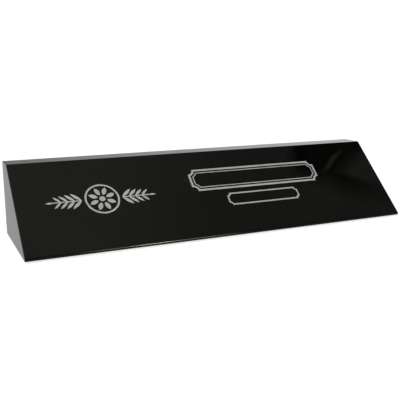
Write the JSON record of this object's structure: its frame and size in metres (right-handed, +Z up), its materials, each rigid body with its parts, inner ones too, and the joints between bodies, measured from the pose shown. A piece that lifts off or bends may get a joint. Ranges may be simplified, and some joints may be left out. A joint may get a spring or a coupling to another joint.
{
  "type": "desk name plate",
  "caption": "Polished black stone desk wedge whose sloping face has an enamel-filled rosette with leaf sprays and blank name and title frames, standing on felt pads.",
  "frame": {"origin": "on the desk, under the middle of the plate, level with the undersides of the felt pads", "axes": "+X along the plate to the reader's right, +Y from the sloping face to the upright back, +Z up"},
  "size_m": [0.2032, 0.0508, 0.0372],
  "materials": {
    "polished_stone": "polished",
    "engraving_enamel": "satin",
    "felt": "matte",
    "adhesive": "satin"
  },
  "bodies": {
    "root": {"stone_wedge": "polished_stone", "emblem_ring_fill": "engraving_enamel", "emblem_petals_fill": "engraving_enamel", "emblem_centre_fill": "engraving_enamel", "left_spray_fill": "engraving_enamel", "right_spray_fill": "engraving_enamel", "name_frame_fill": "engraving_enamel", "name_inner_line_fill": "engraving_enamel", "title_frame_fill": "engraving_enamel", "foot_pad_front_left": "felt", "foot_pad_front_right": "felt", "foot_pad_back_left": "felt", "foot_pad_back_right": "felt", "pad_adhesive_front_left": "adhesive", "pad_adhesive_front_right": "adhesive", "pad_adhesive_back_left": "adhesive", "pad_adhesive_back_right": "adhesive"}
  },
  "joints": []
}
